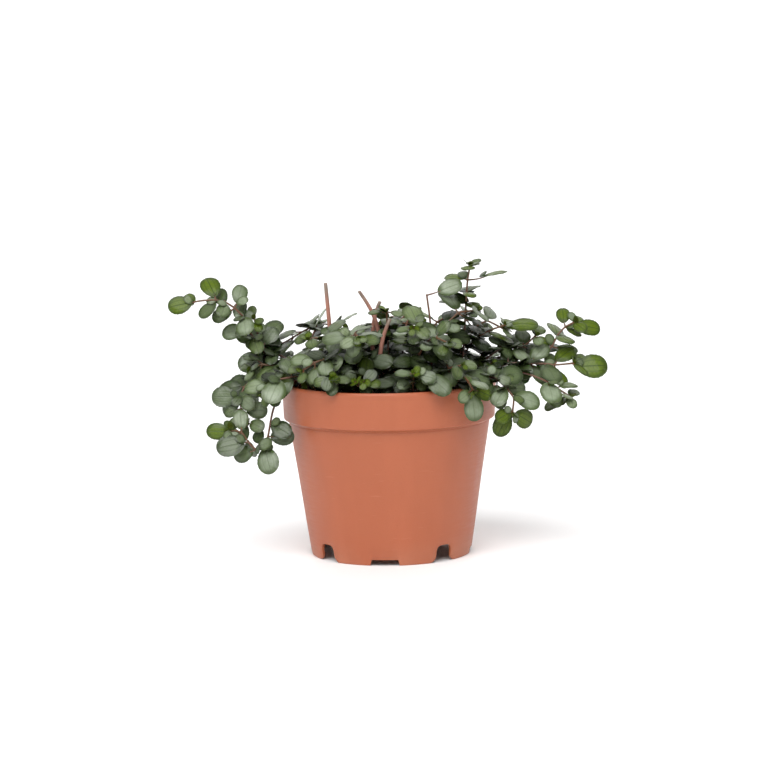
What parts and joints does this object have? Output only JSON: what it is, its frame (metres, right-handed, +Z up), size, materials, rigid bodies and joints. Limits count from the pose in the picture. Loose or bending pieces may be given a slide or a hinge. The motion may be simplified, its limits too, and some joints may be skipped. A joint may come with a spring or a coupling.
{
  "type": "potted pilea",
  "caption": "Small trailing pilea with round silvery green leaves on thin stems, growing from dark soil in a round plastic nursery pot that stands on notched feet.",
  "frame": {"origin": "on the ground under the middle of the pot, which is also the middle of the whole plant's width and depth", "axes": "+Z up along the pot's axis, +X to the right across the plant's widest spread, and -Y to the front"},
  "size_m": [0.2447, 0.1304, 0.1636],
  "materials": {
    "pot": "satin",
    "soil": "matte",
    "foliage": "satin",
    "cut_stem": "matte"
  },
  "bodies": {
    "root": {"cut_stem_back": "cut_stem", "cut_stem_front": "cut_stem", "cut_stem_left": "cut_stem", "cut_stem_middle": "cut_stem", "pot": "pot", "shoot_back_left": "foliage", "shoot_back_right": "foliage", "shoot_back_side_left": "foliage", "shoot_back_side_right": "foliage", "shoot_front_left": "foliage", "shoot_front_mid": "foliage", "shoot_front_right": "foliage", "shoot_front_right_low": "foliage", "shoot_left_front": "foliage", "shoot_left_high": "foliage", "shoot_left_high_back": "foliage", "shoot_left_loop": "foliage", "shoot_left_mid": "foliage", "shoot_left_trail": "foliage", "shoot_mound_01": "foliage", "shoot_mound_02": "foliage", "shoot_mound_03": "foliage", "shoot_mound_04": "foliage", "shoot_mound_05": "foliage", "shoot_mound_06": "foliage", "shoot_mound_07": "foliage", "shoot_mound_08": "foliage", "shoot_mound_09": "foliage", "shoot_mound_10": "foliage", "shoot_mound_11": "foliage", "shoot_mound_12": "foliage", "shoot_mound_13": "foliage", "shoot_mound_14": "foliage", "shoot_mound_15": "foliage", "shoot_mound_16": "foliage", "shoot_mound_17": "foliage", "shoot_mound_18": "foliage", "shoot_mound_19": "foliage", "shoot_mound_20": "foliage", "shoot_right_bare": "foliage", "shoot_right_high": "foliage", "shoot_right_long": "foliage", "shoot_right_low": "foliage", "shoot_right_mid": "foliage", "shoot_right_top": "foliage", "shoot_right_trail": "foliage", "shoot_right_upright": "foliage", "shoot_skirt_01": "foliage", "shoot_skirt_02": "foliage", "shoot_skirt_03": "foliage", "shoot_skirt_04": "foliage", "shoot_skirt_05": "foliage", "shoot_skirt_06": "foliage", "shoot_skirt_07": "foliage", "shoot_skirt_08": "foliage", "shoot_skirt_09": "foliage", "shoot_skirt_10": "foliage", "shoot_skirt_11": "foliage", "shoot_skirt_12": "foliage", "soil": "soil"}
  },
  "joints": []
}
